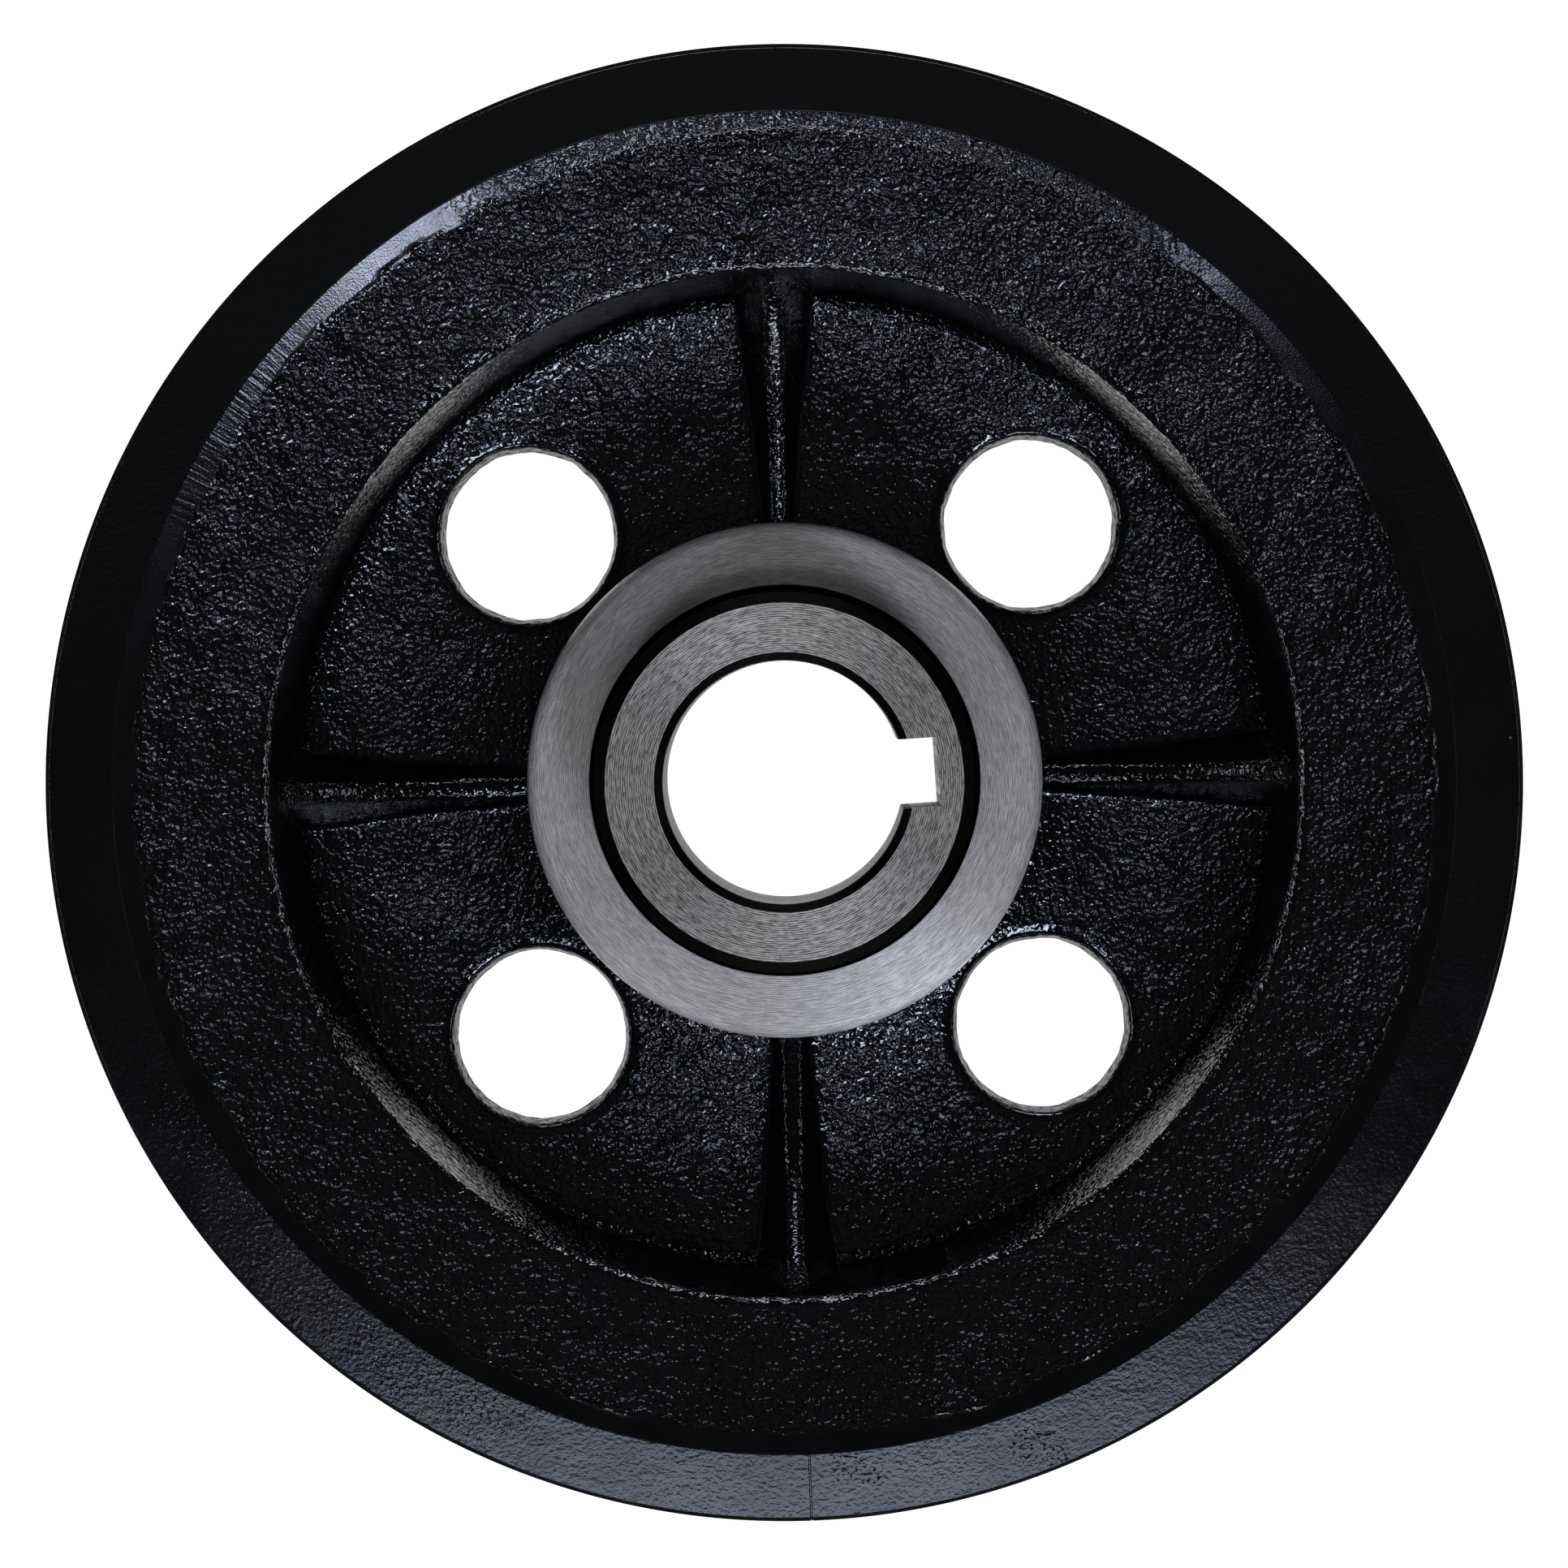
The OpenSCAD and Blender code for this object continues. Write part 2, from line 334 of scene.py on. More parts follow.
def add_rim(skin):
    """Rim wall, dish and bevel, then round the outside to the back of the web."""
    angles = full_turn(OUTER_ANGLES)
    dish_slope = (DISH_DROP - BEVEL_STEP) / (BEVEL_R - DISH_R)
    front = rounded_outline([
        (WEB_OUTER_R, web_height(WEB_OUTER_R), 0),
        (WALL_FOOT_R, WALL_FOOT_Z, 2.0),
        (DISH_R, DISH_FOOT_Z, 1.5),
        (TURNED_FROM_R, DISH_FOOT_Z + (TURNED_FROM_R - DISH_R) * dish_slope, 0),
    ])
    front = resampled(front, 0.7)
    edge_r = np.linspace(TURNED_FROM_R, JOINT_R, 22)[1:]
    edge = np.stack([edge_r, DISH_FOOT_Z + (edge_r - DISH_R) * dish_slope], axis=1)
    outline = np.concatenate([front, edge])
    normals = outline_normals(outline)
    normals[0] = (0, 1)
    rows = polar(outline[:, :1], angles[None, :], outline[:, 1:])
    rise = polar(normals[:, :1], angles[None, :], normals[:, 1:])
    rows = cast_front(rows, rise)

    # The raw skin climbs steeply near the joint, and the bevel is turned off it.
    r = np.broadcast_to(outline[:, :1], rows.shape[:2])
    flat = rows.reshape(-1, 3)
    away = (angles - SHY_ANGLE + math.pi) % (2 * math.pi) - math.pi
    start = BEVEL_R + SHY_SHIFT * np.exp(-(away / SHY_SPREAD) ** 2)[None, :]
    ragged = (0.35 * soft_noise(flat, 4.0, 11) + 0.45 * soft_noise(flat, 1.4, 12)).reshape(r.shape)
    past_start = r - start - ragged
    climb = smooth_max(0, past_start, RAW_BLEND) * RAW_CLIMB
    raw = rows[:, :, 2] + climb * (r > TURNED_FROM_R)
    cut = np.where(past_start > -0.25, raw - bevel_height(r), -0.4)
    rows[:, :, 2] = np.where(cut > 0, bevel_height(r), raw)
    skin.add_rows(rows, np.clip(cut, -1, 1))

    around = rounded_outline([
        (JOINT_R, 30.0, 0),
        (JOINT_R, 0.3, 0),
        (JOINT_R - 0.3, 0, 0),
        (WALL_FOOT_R + 0.8, 0, 0),
        (WALL_FOOT_R, 0, 0.6),
        (WALL_FOOT_R - 1.0, WEB_BACK_Z, 0.6),
        (WEB_BACK_OUTER_R, WEB_BACK_Z, 0),
    ], steps=3)
    back = polar(around[:, :1], angles[None, :], around[:, 1:])
    skin.add_rows(np.concatenate([rows[-1:], back]), np.ones((len(back) + 1, len(angles))))


def add_boss(skin):
    """From the web's inner edge down the collar's seat and the barrel's bore to the back."""
    angles = full_turn(INNER_ANGLES)
    rim = polar(COLLAR_R + 0.1, angles, web_height(COLLAR_R + 0.1))
    rows = [cast_front(rim)]
    lip = rows[0].copy()
    lip[:, :2] *= COLLAR_R / (COLLAR_R + 0.1)
    lip[:, 2] -= 0.15
    rows.append(lip)
    for r, z in ((COLLAR_R, SEAT_Z), (BARREL_R, SEAT_Z), (BARREL_R, 0.4), (BARREL_R + 0.4, 0),
                 (BOSS_BACK_R - 0.3, 0), (BOSS_BACK_R, 0.3), (BOSS_BACK_R + 0.5, WEB_BACK_Z - 0.3),
                 (BOSS_BACK_R + 0.9, WEB_BACK_Z)):
        rows.append(polar(r, angles, z))
    skin.add_rows(rows)


def make_casting(material):
    skin = Skin()
    for k in range(4):
        add_web_quarter(skin, math.pi / 4 + k * math.pi / 2)
    add_rim(skin)
    add_boss(skin)
    piece = skin.to_object("flywheel_casting", math.radians(50))
    stand_for(piece, "wheel_casting", material)
    return piece


# --- Turned pieces --------------------------------------------------------------------------------

# Edges bent more than this shade as creases, so that turned faces stay flat up to their edges.
FLAT_FACE_ANGLE = math.radians(9)


def eased(corners, ease):
    """A closed outline whose every corner is broken by a tiny rounding, as a deburred edge is."""
    n = len(corners)
    ring = [(x, z, ease) for x, z in corners]
    points = []
    for i in range(n):
        three = [ring[i - 1], ring[i], ring[(i + 1) % n]]
        points.append(rounded_outline(three, steps=2)[1:-1])
    return np.concatenate(points)


def lathe_rows(outline, angles):
    """Rows of points for a closed outline turned about Z, first row repeated last."""
    closed = np.concatenate([outline, outline[:1]])
    return polar(closed[:, :1], angles[None, :], closed[:, 1:])


def make_ring(material):
    """The rim ring, with its scribed timing line."""
    corners = [
        (JOINT_R, 0.0), (WHEEL_R - RING_CHAMFER, 0.0), (WHEEL_R, RING_CHAMFER),
        (WHEEL_R, RIM_W - RING_CHAMFER), (WHEEL_R - RING_CHAMFER, RIM_W),
        (JOINT_R + 0.12, RIM_W), (JOINT_R, RIM_W - 0.12),
    ]
    outline = resampled(eased(corners, 0.04), 4.0)
    mid_r = (JOINT_R + WHEEL_R) / 2
    half = TIMING_HALF_W / mid_r
    line = TIMING_ANGLE + np.array([-1.3, -1.0, -0.35, 0.35, 1.0, 1.3]) * half
    angles = np.sort(np.concatenate([np.arange(720) * 2 * math.pi / 720, line]))
    rows = lathe_rows(outline, angles)
    in_line = np.abs(angles - TIMING_ANGLE) < 0.5 * half
    front = (rows[:, :, 2] > RIM_W - RING_CHAMFER - 0.1) & in_line[None, :]
    rows[:, :, 2] -= TIMING_DEPTH * front
    skin = Skin()
    skin.add_rows(rows)
    piece = skin.to_object("machined_rim_ring", FLAT_FACE_ANGLE)
    stand_for(piece, "rim_ring", material)
    return piece


def make_hub(material):
    """The keyed hub: nose, root groove, round-edged collar and barrel, with the keyway cut through."""
    chamfer_foot = NOSE_Z - NOSE_CHAMFER
    collar_edge = rounded_outline([
        (COLLAR_R, SEAT_Z, 0),
        (COLLAR_R, COLLAR_Z - COLLAR_FALL, COLLAR_ROUNDING),
        (NOSE_R + 3.5, COLLAR_Z, 6.0),
        (ROOT_GROOVE_R, COLLAR_Z, 0.1),
        (ROOT_GROOVE_R - 0.2, COLLAR_Z - ROOT_GROOVE_DEPTH, 0.3),
        (NOSE_R, COLLAR_Z - ROOT_GROOVE_DEPTH, 0.2),
        (NOSE_R, chamfer_foot, 0),
    ], steps=8)
    front = rounded_outline([
        (NOSE_R, COLLAR_Z + 3, 0),
        (NOSE_R, chamfer_foot, EDGE_EASE),
        (NOSE_R - NOSE_CHAMFER, NOSE_Z, EDGE_EASE),
        (BORE_R + BORE_CHAMFER, NOSE_Z, EDGE_EASE),
        (BORE_R, NOSE_Z - BORE_CHAMFER, EDGE_EASE),
        (BORE_R, BORE_CHAMFER, 0),
    ], steps=2)
    back = [(BORE_R + BORE_CHAMFER, 0), (BARREL_R - 0.8, 0), (BARREL_R, 0.8), (BARREL_R, SEAT_Z)]
    outline = resampled(np.concatenate([collar_edge[:-1], front, np.array(back)]), 3.0)
    angles = np.arange(720) * 2 * math.pi / 720
    skin = Skin()
    skin.add_rows(lathe_rows(outline, angles))
    piece = skin.to_object("bare_keyed_hub", FLAT_FACE_ANGLE)

    reach = KEY_REACH * MM
    depth = (NOSE_Z + 4) * MM
    bpy.ops.mesh.primitive_cube_add(size=1, location=(0, 0, 0))
    cutter = bpy.context.object
    cutter.matrix_world = (Matrix.Rotation(KEY_ANGLE, 4, "Z")
                           @ Matrix.Translation((reach / 2, 0, NOSE_Z * MM / 2))
                           @ Matrix.Diagonal((reach, KEY_W * MM, depth, 1)))
    bpy.context.view_layer.update()
    cut = piece.modifiers.new("keyway", "BOOLEAN")
    cut.operation, cut.solver, cut.object = "DIFFERENCE", "EXACT", cutter
    evaluated = piece.evaluated_get(bpy.context.evaluated_depsgraph_get())
    mesh = bpy.data.meshes.new_from_object(evaluated)
    piece.modifiers.clear()
    piece.data = mesh
    bpy.data.objects.remove(cutter)
    mesh.set_sharp_from_angle(angle=FLAT_FACE_ANGLE)
    stand_for(piece, "keyed_hub", material)
    return piece


# --- Materials ------------------------------------------------------------------------------------

class Graph:
    """Short calls for building one material's nodes. Lengths in its patterns are millimetres."""

    def __init__(self, name):
        self.material = bpy.data.materials.new(name)
        self.material.use_nodes = True
        self.tree = self.material.node_tree
        self.shader = self.tree.nodes["Principled BSDF"]
        coordinates = self.tree.nodes.new("ShaderNodeTexCoord")
        self.place = self.vector("MULTIPLY", coordinates.outputs["Object"], (1000, 1000, 1000))

    def link(self, source, target):
        if isinstance(source, bpy.types.NodeSocket):
            self.tree.links.new(source, target)
        else:
            target.default_value = source

    def vector(self, operation, a, b):
        node = self.tree.nodes.new("ShaderNodeVectorMath")
        node.operation = operation
        self.link(a, node.inputs[0])
        self.link(b, node.inputs[1])
        return node.outputs[0]

    def math(self, operation, a, b=0.0, clamp=False):
        node = self.tree.nodes.new("ShaderNodeMath")
        node.operation, node.use_clamp = operation, clamp
        self.link(a, node.inputs[0])
        self.link(b, node.inputs[1])
        return node.outputs[0]

    def split(self, vector):
        node = self.tree.nodes.new("ShaderNodeSeparateXYZ")
        self.link(vector, node.inputs[0])
        return node.outputs

    def noise(self, size, detail=2.0, roughness=0.5, where=None):
        """Noise from 0 to 1 with features about size millimetres wide."""
        node = self.tree.nodes.new("ShaderNodeTexNoise")
        self.link(where or self.place, node.inputs["Vector"])
        node.inputs["Scale"].default_value = 1.0 / size
        node.inputs["Detail"].default_value = detail
        node.inputs["Roughness"].default_value = roughness
        return node.outputs[0]

    def stirred_place(self, scale, reach):
        """Object place in millimetres, pushed about by up to reach so that noise on it isn't even."""
        node = self.tree.nodes.new("ShaderNodeTexNoise")
        self.link(self.place, node.inputs["Vector"])
        node.inputs["Scale"].default_value = scale
        return self.vector("ADD", self.place, self.vector("MULTIPLY", node.outputs["Color"], (reach,) * 3))

    def cells(self, size):
        """Distance to the nearest of scattered points about size millimetres apart."""
        node = self.tree.nodes.new("ShaderNodeTexVoronoi")
        self.link(self.place, node.inputs["Vector"])
        node.inputs["Scale"].default_value = 1.0 / size
        return node.outputs["Distance"]

    def remap(self, value, low, high, to_low=0.0, to_high=1.0):
        """value from low to high becomes to_low to to_high, eased at both ends."""
        node = self.tree.nodes.new("ShaderNodeMapRange")
        node.interpolation_type = "SMOOTHSTEP"
        self.link(value, node.inputs["Value"])
        for key, number in (("From Min", low), ("From Max", high), ("To Min", to_low), ("To Max", to_high)):
            self.link(number, node.inputs[key])
        return node.outputs["Result"]

    def mix(self, share, a, b):
        """a where share is 0 and b where it is 1, for numbers."""
        node = self.tree.nodes.new("ShaderNodeMix")
        node.data_type = "FLOAT"
        self.link(share, node.inputs[0])
        self.link(a, node.inputs[2])
        self.link(b, node.inputs[3])
        return node.outputs[0]

    def mix_colour(self, share, a, b):
        node = self.tree.nodes.new("ShaderNodeMix")
        node.data_type = "RGBA"
        self.link(share, node.inputs[0])
        self.link((*a, 1.0) if isinstance(a, tuple) else a, node.inputs[6])
        self.link((*b, 1.0) if isinstance(b, tuple) else b, node.inputs[7])
        return node.outputs[2]

    def attribute(self, name):
        node = self.tree.nodes.new("ShaderNodeAttribute")
        node.attribute_name = name
        return node.outputs["Fac"]

    def bump(self, height_mm):
        """Tilts the surface's shading as a relief of this height would."""
        node = self.tree.nodes.new("ShaderNodeBump")
        node.inputs["Strength"].default_value = 1.0
        node.inputs["Distance"].default_value = MM
        self.link(height_mm, node.inputs["Height"])
        self.link(node.outputs[0], self.shader.inputs["Normal"])

    def total(self, *values):
        """The sum of two or more numbers."""
        result = values[0]
        for value in values[1:]:
            result = self.math("ADD", result, value)
        return result

    def product(self, *values):
        """The product of two or more numbers."""
        result = values[0]
        for value in values[1:]:
            result = self.math("MULTIPLY", result, value)
        return result

    def distance(self, x, y):
        """How far the place lies from a point of the XY plane, in millimetres."""
        place_x, place_y, _ = self.split(self.place)
        across = self.math("SUBTRACT", place_x, x)
        along = self.math("SUBTRACT", place_y, y)
        return self.length(across, along)

    def length(self, across, along):
        """The length of a flat vector."""
        return self.math("SQRT", self.total(self.product(across, across), self.product(along, along)))

    def polar(self):
        """Radius in millimetres, and the cosine and sine of the angle round the axis."""
        x, y, _ = self.split(self.place)
        radius = self.length(x, y)
        return radius, self.math("DIVIDE", x, radius), self.math("DIVIDE", y, radius)

    def turned_place(self, across, turns):
        """Coordinates for marks that run round the axis.

        They are across mm wide, and shorter the larger turns is."""
        radius, cosine, sine = self.polar()
        join = self.tree.nodes.new("ShaderNodeCombineXYZ")
        self.link(self.product(cosine, turns), join.inputs[0])
        self.link(self.product(sine, turns), join.inputs[1])
        self.link(self.math("DIVIDE", radius, across), join.inputs[2])
        return join.outputs[0]

    def near_hole(self, outside, inside):
        """1 inside the lightening holes, fading to 0 between two radii about the hole's axis."""
        x, y, _ = self.split(self.place)
        centre = HOLE_CIRCLE_R / math.sqrt(2)
        across = self.math("SUBTRACT", self.math("ABSOLUTE", x), centre)
        along = self.math("SUBTRACT", self.math("ABSOLUTE", y), centre)
        return self.remap(self.length(across, along), outside, inside)

    def near_point(self, angle_deg, from_axis, reach):
        """1 at a point of a level face, given by its angle and radius, fading to 0 at reach from it."""
        angle = math.radians(angle_deg)
        away = self.distance(from_axis * math.cos(angle), from_axis * math.sin(angle))
        return self.remap(away, reach, 0.0)

    def bearing(self, angle_deg, spread_deg, soft_deg):
        """1 within spread_deg of a direction round the axis, fading to 0 over the next soft_deg."""
        _, cosine, sine = self.polar()
        angle = math.radians(angle_deg)
        towards = self.total(self.product(cosine, math.cos(angle)), self.product(sine, math.sin(angle)))
        edge, end = math.cos(math.radians(spread_deg)), math.cos(math.radians(spread_deg + soft_deg))
        return self.remap(towards, end, edge)


# Widths and heights of the surface marks, in millimetres
GRAIN_SIZE, GRAIN_HEIGHT = 0.55, 0.14
STIR_SCALE, STIR_REACH = 0.9, 0.9
LUMP_SIZE, LUMP_HEIGHT = 2.4, 0.14
GRIT_SIZE, GRIT_HEIGHT = 0.25, 0.02
CHATTER_HEIGHT, SMEAR_HEIGHT = 0.05, 0.5
LAPPING_HEIGHT, RING_GRAIN_HEIGHT, MOTTLE_HEIGHT = 0.012, 0.008, 0.02
SPECK_SIZE, SPECK_HEIGHT, BLEMISH_HEIGHT = 0.5, 0.06, 0.18
PIT_DEPTH, PORE_DEPTH = 0.06, 0.12
TURNING_PITCH, TURNING_HEIGHT, BROAD_HEIGHT = 0.26, 0.06, 0.03

# How many times as high the cast relief is on the rim wall, round a hole's lip and down in a hole
WALL_GAIN, LIP_GAIN, HOLE_GAIN = 2.0, 0.35, 6.0

# Small patches of cast skin left in the ring's face: angle in degrees, radius and reach
RING_BLEMISHES = ((290.6, 81.8, 2.4), (289.0, 80.4, 2.6), (273.8, 78.2, 2.0), (275.6, 78.8, 1.8))


def cast_relief(g):
    """Height in millimetres of the rough cast skin: uneven sand grains on broader lumps."""
    grains = g.noise(GRAIN_SIZE, detail=0.0, where=g.stirred_place(STIR_SCALE, STIR_REACH))
    lumps = g.noise(LUMP_SIZE, detail=1.0)
    return g.total(g.product(grains, GRAIN_HEIGHT), g.product(lumps, LUMP_HEIGHT))


def with_gain(g, relief, share, gain):
    """The relief, gain times as high where share is 1."""
    return g.mix(share, relief, g.product(relief, gain))


def uneven_cast_relief(g, in_hole):
    """Cast relief that is rougher on the rim wall and in the holes, and smoother round their lips."""
    radius, _, _ = g.polar()
    _, _, z = g.split(g.place)
    below_dish = g.remap(z, DISH_FOOT_Z, DISH_FOOT_Z - 1.0)
    on_wall = g.product(below_dish, g.remap(radius, WALL_FOOT_R - 1.6, WALL_FOOT_R - 0.1))
    on_lip = g.near_hole(HOLE_MOUTH_R + 1.6, HOLE_MOUTH_R + 0.7)
    relief = with_gain(g, cast_relief(g), on_wall, WALL_GAIN)
    relief = with_gain(g, relief, on_lip, LIP_GAIN)
    return with_gain(g, relief, in_hole, HOLE_GAIN)


def turned_bevel_relief(g):
    """Height of the turned bevel's marks: fine grit, tool chatter in one place and smears at the top."""
    grit = g.product(g.noise(GRIT_SIZE, detail=1.0), GRIT_HEIGHT)
    chatter = g.noise(1.0, detail=1.0, where=g.turned_place(4.0, 170.0))
    chatter = g.product(chatter, CHATTER_HEIGHT, g.bearing(145.0, 6.0, 8.0))
    smears = g.noise(1.6, detail=2.0, roughness=0.6)
    smears = g.product(smears, SMEAR_HEIGHT, g.bearing(84.0, 24.0, 14.0))
    return g.total(grit, chatter, smears)


def finish_paint(g, colour_dark, colour_light, roughness):
    """Thin, nearly black gloss paint with a cold sheen."""
    tint = g.noise(14.0, detail=2.0)
    g.link(g.mix_colour(tint, colour_dark, colour_light), g.shader.inputs["Base Color"])
    g.link(roughness, g.shader.inputs["Roughness"])
    g.shader.inputs["IOR"].default_value = 1.5
    g.shader.inputs["Specular Tint"].default_value = (0.80, 0.86, 1.0, 1.0)


def painted_casting():
    """Thin gloss black paint over sand-cast iron, smooth where the bevel and back were turned."""
    g = Graph("black_paint_on_cast_iron")
    fray = g.product(g.math("SUBTRACT", g.noise(0.8, detail=3.0), 0.5), 1.8)
    turned = g.remap(g.total(g.attribute("skin_cut"), fray), -0.01, 0.03)
    in_hole = g.near_hole(HOLE_MOUTH_R + 0.35, HOLE_MOUTH_R + 0.15)
    g.bump(g.mix(turned, uneven_cast_relief(g, in_hole), turned_bevel_relief(g)))

    # The holes' walls are dull, with patches that hardly shine.
    patchy = g.remap(g.noise(0.9, detail=2.0), 0.4, 0.6, 0.02, 0.3)
    g.link(g.mix(in_hole, 0.5, patchy), g.shader.inputs["Specular IOR Level"])
    cast_rough = g.remap(g.noise(3.0, detail=3.0), 0.35, 0.65, 0.08, 0.14)
    cast_rough = g.mix(in_hole, cast_rough, 0.45)
    turned_rough = g.remap(g.noise(6.0), 0.3, 0.7, 0.16, 0.22)
    roughness = g.mix(turned, cast_rough, turned_rough)
    finish_paint(g, (0.0010, 0.0010, 0.0013), (0.0022, 0.0022, 0.0028), roughness)
    return g.material


def left_cast_skin(g):
    """Height of the cast skin left on the ring: specks over one wide patch, and a few blemishes."""
    radius, _, _ = g.polar()
    specks = g.remap(g.noise(SPECK_SIZE, detail=1.0), 0.58, 0.75)
    uneven = g.product(g.math("SUBTRACT", g.noise(5.0, detail=3.0), 0.5), 9.0)
    inner_half = g.remap(g.total(radius, uneven), JOINT_R + 6.5, JOINT_R + 3.5)
    patch = g.product(g.bearing(226.0, 11.0, 12.0), inner_half)
    height = g.product(patch, specks, SPECK_HEIGHT)
    for angle_deg, from_axis, reach in RING_BLEMISHES:
        blemish = g.near_point(angle_deg, from_axis, reach)
        height = g.total(height, g.product(blemish, specks, BLEMISH_HEIGHT))
    return height


def painted_ring():
    """Thin black paint over a finely machined face, with pits and traces of cast skin."""
    g = Graph("black_paint_on_machined_iron")
    lapping = g.noise(1.0, detail=2.0, roughness=0.6, where=g.turned_place(0.4, 110.0))
    lapping = g.product(lapping, LAPPING_HEIGHT)
    grain = g.product(g.noise(0.5, detail=1.0), RING_GRAIN_HEIGHT)
    mottle = g.product(g.noise(2.0, detail=3.0, roughness=0.6), MOTTLE_HEIGHT)
    pits = g.remap(g.cells(9.0), 0.0, 0.05, -PIT_DEPTH, 0.0)
    g.bump(g.total(lapping, grain, mottle, left_cast_skin(g), pits))
    rough = g.remap(g.noise(9.0, detail=4.0), 0.3, 0.7, 0.11, 0.15)
    finish_paint(g, (0.0012, 0.0012, 0.0015), (0.0022, 0.0022, 0.0027), rough)
    return g.material


def hub_painted_shade(g, radius):
    """1 on the hub's chamfers, the nose's side and the root groove, where near-black shade is painted into
    the colour; 0 on its bright faces.
    """
    face_inner, face_outer = BORE_R + BORE_CHAMFER, NOSE_R - NOSE_CHAMFER
    middle, half_width = (face_inner + face_outer) / 2, (face_outer - face_inner) / 2
    from_middle = g.math("ABSOLUTE", g.math("SUBTRACT", radius, middle))
    off_face = g.remap(from_middle, half_width - 0.02, half_width + 0.02)
    inside_collar = g.remap(radius, ROOT_GROOVE_R + 0.05, ROOT_GROOVE_R - 0.05)
    outside_bore = g.remap(radius, BORE_R + 0.02, BORE_R + 0.1)
    return g.product(off_face, inside_collar, outside_bore)


def bare_turned_metal():
    """Bare grey iron: fine turning marks, a few pores, painted shade on the chamfers and a paler collar."""
    g = Graph("bare_turned_iron")
    radius, _, _ = g.polar()
    fine = g.noise(1.0, detail=3.0, roughness=0.75, where=g.turned_place(0.16, 14.0))
    broad = g.noise(1.0, detail=2.0, where=g.turned_place(1.3, 3.0))
    spiral = g.total(g.product(radius, 2 * math.pi / TURNING_PITCH), g.product(broad, 2.0))
    marks = g.total(fine, g.product(g.math("SINE", spiral), 0.09))
    pores = g.remap(g.cells(5.5), 0.0, 0.04, -PORE_DEPTH, 0.0)
    g.bump(g.total(g.product(marks, TURNING_HEIGHT), g.product(broad, BROAD_HEIGHT), pores))

    streaks = g.remap(marks, 0.34, 0.66)
    nose_iron = g.mix_colour(streaks, (0.07, 0.07, 0.071), (0.42, 0.42, 0.423))
    collar_iron = g.mix_colour(streaks, (0.50, 0.50, 0.50), (1.0, 1.0, 1.0))
    on_collar = g.remap(radius, ROOT_GROOVE_R - 0.2, ROOT_GROOVE_R)
    iron = g.mix_colour(on_collar, nose_iron, collar_iron)
    in_bore = g.remap(radius, BORE_R + 0.1, BORE_R + 0.02)
    iron = g.mix_colour(in_bore, iron, (0.15, 0.147, 0.138))
    # Painted shade: the chamfers, the nose's side and the root groove are coloured near black where they lie
    # in shade.
    painted_shade = hub_painted_shade(g, radius)
    g.link(g.mix_colour(painted_shade, iron, (0.004, 0.004, 0.004)), g.shader.inputs["Base Color"])
    g.link(g.remap(g.noise(1.2, detail=3.0), 0.3, 0.7, 0.46, 0.54), g.shader.inputs["Roughness"])
    g.link(g.mix(painted_shade, 0.5, 1.0), g.shader.inputs["Metallic"])
    g.shader.inputs["Anisotropic"].default_value = 0.85
    g.shader.inputs["Anisotropic Rotation"].default_value = 0.25
    tangent = g.tree.nodes.new("ShaderNodeTangent")
    tangent.direction_type, tangent.axis = "RADIAL", "Z"
    g.link(tangent.outputs[0], g.shader.inputs["Tangent"])
    return g.material


# --- Camera, lights and floor ---------------------------------------------------------------------

COLD, WHITE = (0.94, 0.97, 1.08), (1.0, 1.0, 1.0)
HIGH, LOW = 1.0, 0.25

# Soft boxes, each with its name, X range, Y range, height, radiance and colour, in metres
PANELS = (
    ("near_soft_box", (-0.13, 0.14), (-0.28, -0.175), HIGH, 5.0, COLD),
    ("far_soft_box", (0.24, 0.54), (-0.82, -0.56), HIGH, 22.0, COLD),
    ("left_soft_box", (-0.50, -0.30), (-0.76, -0.60), HIGH, 15.0, COLD),
    ("overhead_bounce", (-0.35, 0.35), (0.06, 0.45), HIGH, 0.07, WHITE),
    ("low_right", (0.55, 0.85), (-0.30, 0.30), LOW, 7.0, WHITE),
    ("low_left", (-0.85, -0.55), (-0.30, 0.30), LOW, 7.0, WHITE),
    ("low_back", (-0.30, 0.30), (0.55, 0.85), LOW, 15.0, WHITE),
    ("low_front", (-0.30, 0.30), (-0.85, -0.55), LOW, 15.0, WHITE),
)


def add_panel(name, x_range, y_range, height, radiance, colour):
    """A soft box: a level panel that shines down with an even radiance, unseen by the camera."""
    size = x_range[1] - x_range[0], y_range[1] - y_range[0]
    light = bpy.data.lights.new(name, "AREA")
    light.shape = "RECTANGLE"
    light.size, light.size_y = size
    light.energy = radiance * math.pi * size[0] * size[1]
    light.color = colour
    lamp = bpy.data.objects.new(name, light)
    lamp.location = (sum(x_range) / 2, sum(y_range) / 2, height)
    lamp.visible_camera = False
    bpy.context.scene.collection.objects.link(lamp)


def make_camera():
    """Looks almost straight down at the open front, from just off the axis."""
    place = Vector((3.5, 14.0, 828.0)) * MM
    aim = Vector((0.0, 0.0, RIM_W)) * MM
    roll = math.radians(-1.4)
    view = (aim - place).normalized()
    right = Vector((math.cos(roll), math.sin(roll), 0))
    right = (right - view * right.dot(view)).normalized()
    up = right.cross(view)
    data = bpy.data.cameras.new("camera")
    data.sensor_width = 36.0
    data.lens = 36.0 * 800.0 / 180.37
    data.clip_start = 0.05
    camera = bpy.data.objects.new("camera", data)
    camera.matrix_world = Matrix.Translation(place) @ Matrix((right, up, -view)).transposed().to_4x4()
    bpy.context.scene.collection.objects.link(camera)
    bpy.context.scene.camera = camera


# Strengths of the light table near the wheel, of the room, and of both as the camera sees them
TABLE_GLOW, ROOM_GLOW, SEEN_WHITE = 1.8, 0.04, 1.05


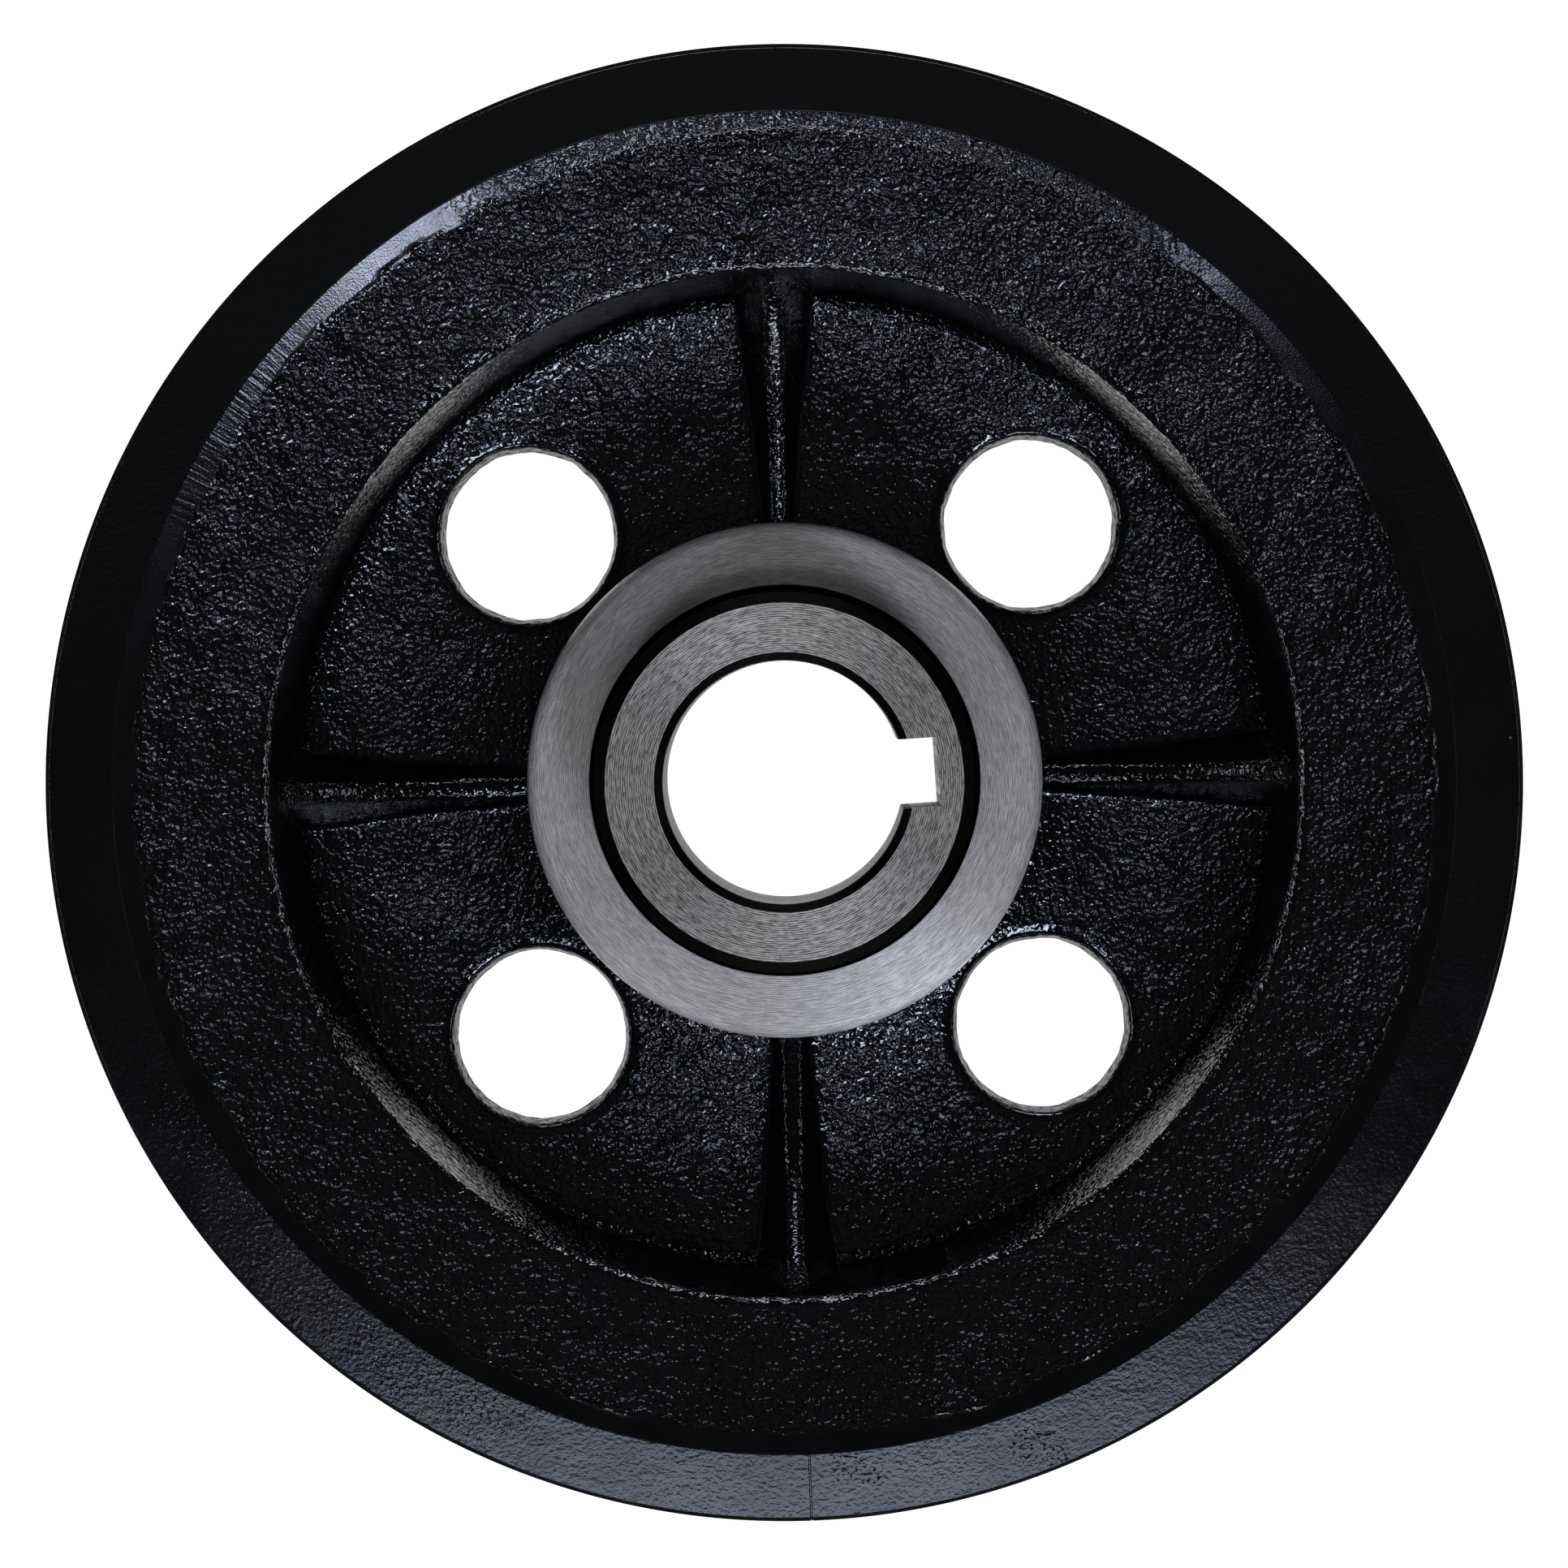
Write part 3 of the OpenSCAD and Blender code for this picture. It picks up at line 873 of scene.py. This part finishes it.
def make_floor():
    """A plain white light table. It shines only near the wheel, and looks white everywhere."""
    bpy.ops.mesh.primitive_plane_add(size=8, location=(0, 0, -0.0004))
    floor = bpy.context.object
    floor.name = "light_table"
    material = bpy.data.materials.new("white_light_table")
    material.use_nodes = True
    nodes, links = material.node_tree.nodes, material.node_tree.links
    nodes.clear()
    place = nodes.new("ShaderNodeTexCoord")
    distance = nodes.new("ShaderNodeVectorMath")
    distance.operation = "LENGTH"
    links.new(place.outputs["Object"], distance.inputs[0])
    fall = nodes.new("ShaderNodeMapRange")
    ranges = {"From Min": 0.10, "From Max": 0.30, "To Min": TABLE_GLOW, "To Max": ROOM_GLOW}
    for key, value in ranges.items():
        fall.inputs[key].default_value = value
    links.new(distance.outputs["Value"], fall.inputs["Value"])
    seen = nodes.new("ShaderNodeLightPath")
    strength = nodes.new("ShaderNodeMix")
    links.new(seen.outputs["Is Camera Ray"], strength.inputs[0])
    links.new(fall.outputs["Result"], strength.inputs[2])
    strength.inputs[3].default_value = SEEN_WHITE
    shine = nodes.new("ShaderNodeEmission")
    links.new(strength.outputs[0], shine.inputs["Strength"])
    output = nodes.new("ShaderNodeOutputMaterial")
    links.new(shine.outputs[0], output.inputs["Surface"])
    floor.data.materials.append(material)


def make_world():
    """A dim room, pale where the camera looks straight at it."""
    world = bpy.data.worlds.new("room")
    bpy.context.scene.world = world
    world.use_nodes = True
    nodes, links = world.node_tree.nodes, world.node_tree.links
    seen = nodes.new("ShaderNodeLightPath")
    strength = nodes.new("ShaderNodeMix")
    links.new(seen.outputs["Is Camera Ray"], strength.inputs[0])
    strength.inputs[2].default_value = ROOM_GLOW
    strength.inputs[3].default_value = SEEN_WHITE
    background = nodes["Background"]
    background.inputs["Color"].default_value = (1, 1, 1, 1)
    links.new(strength.outputs[0], background.inputs["Strength"])


bpy.context.scene.view_settings.view_transform = "Standard"
make_camera()
make_world()
make_floor()
for panel in PANELS:
    add_panel(*panel)
make_casting(painted_casting())
make_ring(painted_ring())
make_hub(bare_turned_metal())
